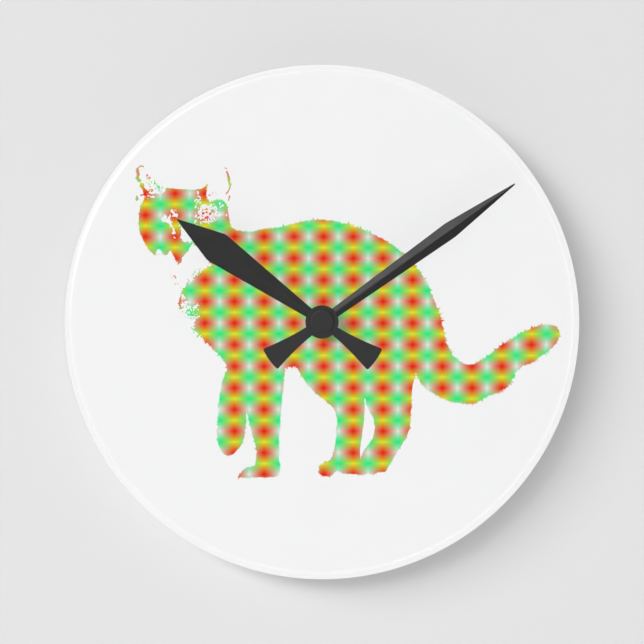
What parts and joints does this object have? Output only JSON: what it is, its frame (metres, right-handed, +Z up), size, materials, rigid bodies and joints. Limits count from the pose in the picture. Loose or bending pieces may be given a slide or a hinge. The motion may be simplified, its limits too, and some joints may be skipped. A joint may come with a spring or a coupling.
{
  "type": "wall clock",
  "caption": "Round wall clock with a printed cat on a clear acrylic dial, ridged black hands and a battery quartz movement that hangs on a nail.",
  "frame": {"origin": "on the wall plane, where the axis of the hands meets it: the middle of the movement's back face", "axes": "+Y backwards along the hands' axis into the wall, +Z up as the clock hangs, +X to the right as seen from the front"},
  "size_m": [0.2032, 0.0314, 0.2032],
  "materials": {
    "clear_acrylic": "polished clear acrylic",
    "white_ink": "flat white ink on the back of the dial",
    "cat_ink": "printed soft-edged check of red, yellow, green and white",
    "hand_black": "matte black paint on pressed sheet",
    "case_plastic": "black moulded plastic, lightly textured",
    "gear_plastic": "natural moulded acetal",
    "knob_plastic": "dark grey moulded plastic",
    "rubber": "soft black rubber sheet",
    "brass": "turned brass",
    "steel": "bright stamped steel",
    "spring_steel": "nickel-plated spring strip",
    "magnet": "dark sintered magnet",
    "copper": "enamelled copper wire",
    "bobbin_plastic": "red moulded plastic",
    "board": "green circuit laminate",
    "chip_resin": "black potting resin",
    "cell_steel": "nickel-plated steel can",
    "cell_wrap": "plain blue shrink sleeve"
  },
  "bodies": {
    "clock_frame": {"dial_panel": "clear_acrylic", "dial_white_print": "white_ink", "cat_print": "cat_ink", "rubber_cushion": "rubber", "dial_washer": "steel", "dial_nut": "brass", "threaded_bushing": "brass", "case_front": "case_plastic", "case_back": "case_plastic", "middle_plate": "gear_plastic", "stator": "steel", "coil_core": "steel", "coil_bobbin": "bobbin_plastic", "coil_winding": "copper", "circuit_board": "board", "quartz_crystal": "steel", "clock_chip": "chip_resin", "positive_contact": "spring_steel", "negative_contact": "spring_steel"},
    "minute_group": {"minute_hand": "hand_black", "hand_nut": "hand_black", "minute_arbor": "gear_plastic", "centre_wheel": "gear_plastic"},
    "hour_group": {"hour_hand": "hand_black", "hour_wheel": "gear_plastic"},
    "motion_group": {"motion_wheel": "gear_plastic"},
    "set_group": {"set_pinion": "gear_plastic", "set_knob": "knob_plastic"},
    "third_group": {"third_wheel": "gear_plastic"},
    "seconds_group": {"seconds_arbor": "steel", "second_wheel": "gear_plastic"},
    "intermediate_group": {"intermediate_wheel": "gear_plastic"},
    "rotor_group": {"rotor_arbor": "gear_plastic", "rotor_magnet": "magnet"},
    "battery": {"battery_can": "cell_steel", "battery_cap": "cell_steel", "battery_sleeve": "cell_wrap"}
  },
  "joints": [
    {"name": "minute_spin", "type": "hinge", "parent": "clock_frame", "child": "minute_group", "pos_m": [0, 0, 0], "axis": [0, 1, 0], "continuous": true},
    {"name": "hour_spin", "type": "hinge", "parent": "clock_frame", "child": "hour_group", "pos_m": [0, 0, 0], "axis": [0, 1, 0], "continuous": true},
    {"name": "motion_spin", "type": "hinge", "parent": "clock_frame", "child": "motion_group", "pos_m": [-0.00849, 0, 0.00849], "axis": [0, 1, 0], "continuous": true},
    {"name": "set_spin", "type": "hinge", "parent": "clock_frame", "child": "set_group", "pos_m": [-0.01976, 0, 0.00438], "axis": [0, 1, 0], "continuous": true},
    {"name": "third_spin", "type": "hinge", "parent": "clock_frame", "child": "third_group", "pos_m": [-0.00363, 0, 0.00998], "axis": [0, 1, 0], "continuous": true},
    {"name": "seconds_spin", "type": "hinge", "parent": "clock_frame", "child": "seconds_group", "pos_m": [0, 0, 0], "axis": [0, 1, 0], "continuous": true},
    {"name": "intermediate_spin", "type": "hinge", "parent": "clock_frame", "child": "intermediate_group", "pos_m": [0.01034, 0, 0.00182], "axis": [0, 1, 0], "continuous": true},
    {"name": "rotor_spin", "type": "hinge", "parent": "clock_frame", "child": "rotor_group", "pos_m": [0.01739, 0, 0.00439], "axis": [0, 1, 0], "continuous": true},
    {"name": "battery_lift", "type": "slide", "parent": "clock_frame", "child": "battery", "axis": [0, 1, 0], "range_m": [0, 0.02]}
  ],
  "couplings": [
    {"joint": "hour_spin", "follows": "minute_spin", "ratio": 0.083333},
    {"joint": "motion_spin", "follows": "minute_spin", "ratio": -0.33333},
    {"joint": "set_spin", "follows": "minute_spin", "ratio": 1},
    {"joint": "third_spin", "follows": "minute_spin", "ratio": -7.5},
    {"joint": "seconds_spin", "follows": "minute_spin", "ratio": 60},
    {"joint": "intermediate_spin", "follows": "minute_spin", "ratio": -360},
    {"joint": "rotor_spin", "follows": "minute_spin", "ratio": 1800}
  ]
}
